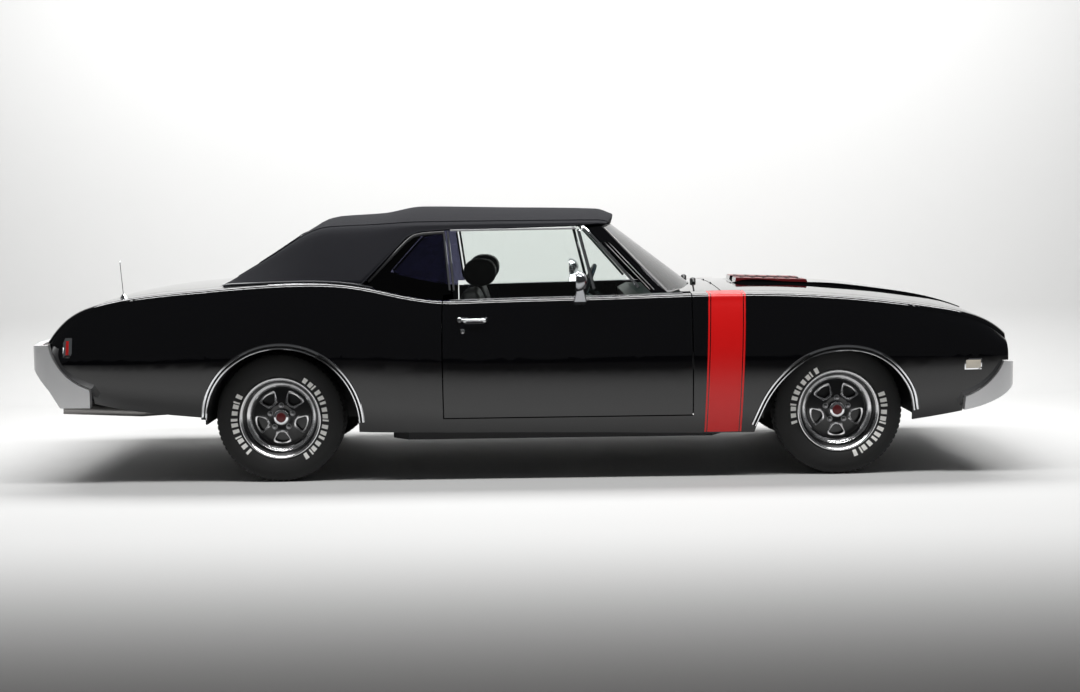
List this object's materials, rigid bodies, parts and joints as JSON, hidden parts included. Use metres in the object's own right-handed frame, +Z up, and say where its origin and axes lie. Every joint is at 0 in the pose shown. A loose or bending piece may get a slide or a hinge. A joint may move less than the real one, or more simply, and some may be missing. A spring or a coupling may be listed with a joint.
{
  "type": "two-door muscle car with a soft top",
  "caption": "Two-door muscle car with a folding soft top: separate frame, hollow body, opening doors, hood and deck lid, steered front wheels and rolling wheels.",
  "frame": {"origin": "on the ground, in the middle of the length and width", "axes": "+X towards the nose, +Y towards the car's left, +Z up"},
  "size_m": [5.121, 2.064, 1.393],
  "materials": {
    "black_paint": "deep gloss black",
    "black_iron": "satin black undercoating",
    "pipe_steel": "dull steel pipe",
    "chrome": "polished chrome",
    "tyre_rubber": "matt rubber",
    "tinted_glass": "clear, lightly tinted",
    "lamp_glass": "clear lens",
    "red_lens": "red lens",
    "black_plastic": "satin black",
    "top_fabric": "grained black vinyl cloth",
    "seat_vinyl": "black vinyl with sewn ribs"
  },
  "bodies": {
    "body": {"fenders": "black_paint", "quarter_panels": "black_paint", "rockers": "black_paint", "cowl": "black_paint", "nose_panel": "black_paint", "tail_panel": "black_paint", "windshield_frame": "black_paint", "chassis_frame": "black_iron", "floor_pan": "black_iron", "inner_fenders": "black_iron", "engine": "black_iron", "driveline": "black_iron", "rear_axle": "black_iron", "suspension": "black_iron", "fuel_tank": "black_iron", "exhaust": "pipe_steel", "front_bumper": "chrome", "rear_bumper": "chrome", "windshield": "tinted_glass", "quarter_glass": "tinted_glass", "rear_window": "tinted_glass", "headlamps": "lamp_glass", "tail_lamps": "red_lens", "grille": "black_plastic", "dashboard": "black_plastic", "soft_top": "top_fabric", "front_cushions": "seat_vinyl", "front_backs": "seat_vinyl", "rear_cushion": "seat_vinyl", "rear_back": "seat_vinyl"},
    "door_right": {"door_right": "black_paint", "door_glass_right": "tinted_glass", "mirror_right": "chrome"},
    "door_left": {"door_left": "black_paint", "door_glass_left": "tinted_glass", "mirror_left": "chrome"},
    "hood": {"hood": "black_paint"},
    "decklid": {"decklid": "black_paint"},
    "knuckle_right": {"knuckle_right": "black_iron"},
    "knuckle_left": {"knuckle_left": "black_iron"},
    "steering_linkage": {"steering_linkage": "black_iron"},
    "steering_wheel": {"steering_wheel": "black_plastic"},
    "wheel_front_right": {"rim_front_right": "chrome", "tyre_front_right": "tyre_rubber"},
    "wheel_front_left": {"rim_front_left": "chrome", "tyre_front_left": "tyre_rubber"},
    "wheel_rear_right": {"rim_rear_right": "chrome", "tyre_rear_right": "tyre_rubber"},
    "wheel_rear_left": {"rim_rear_left": "chrome", "tyre_rear_left": "tyre_rubber"}
  },
  "joints": [
    {"name": "door_right_hinge", "type": "hinge", "parent": "body", "child": "door_right", "pos_m": [0.8525, -0.957, 0.6], "axis": [0, 0, 1], "range_deg": [0, 65]},
    {"name": "door_left_hinge", "type": "hinge", "parent": "body", "child": "door_left", "pos_m": [0.8525, 0.957, 0.6], "axis": [0, 0, -1], "range_deg": [0, 65]},
    {"name": "hood_hinge", "type": "hinge", "parent": "body", "child": "hood", "pos_m": [1.0125, 0, 0.96], "axis": [0, -1, 0], "range_deg": [0, 50]},
    {"name": "decklid_hinge", "type": "hinge", "parent": "body", "child": "decklid", "pos_m": [-1.5545, 0, 1.0105], "axis": [0, 1, 0], "range_deg": [0, 50]},
    {"name": "steer_right", "type": "hinge", "parent": "body", "child": "knuckle_right", "pos_m": [1.5995, -0.6895, 0.328], "axis": [0, 0, 1], "range_deg": [-30, 30]},
    {"name": "steer_left", "type": "hinge", "parent": "body", "child": "knuckle_left", "pos_m": [1.5995, 0.6895, 0.328], "axis": [0, 0, 1], "range_deg": [-31, 31]},
    {"name": "linkage_slide", "type": "slide", "parent": "body", "child": "steering_linkage", "axis": [0, 1, 0], "range_m": [-0.08, 0.08]},
    {"name": "steering_wheel_turn", "type": "hinge", "parent": "body", "child": "steering_wheel", "pos_m": [0.3295, 0.372, 0.868], "axis": [-0.9135, 0, 0.4067], "range_deg": [-490, 490]},
    {"name": "spin_front_right", "type": "hinge", "parent": "knuckle_right", "child": "wheel_front_right", "pos_m": [1.5995, -0.7495, 0.328], "axis": [0, 1, 0], "continuous": true},
    {"name": "spin_front_left", "type": "hinge", "parent": "knuckle_left", "child": "wheel_front_left", "pos_m": [1.5995, 0.7495, 0.328], "axis": [0, 1, 0], "continuous": true},
    {"name": "spin_rear_right", "type": "hinge", "parent": "body", "child": "wheel_rear_right", "pos_m": [-1.2455, -0.7495, 0.328], "axis": [0, 1, 0], "continuous": true},
    {"name": "spin_rear_left", "type": "hinge", "parent": "body", "child": "wheel_rear_left", "pos_m": [-1.2455, 0.7495, 0.328], "axis": [0, 1, 0], "continuous": true}
  ],
  "couplings": [
    {"joint": "steer_left", "follows": "steer_right", "ratio": 1},
    {"joint": "linkage_slide", "follows": "steer_right", "m_per_rad": -0.15},
    {"joint": "steering_wheel_turn", "follows": "steer_right", "ratio": 16}
  ]
}
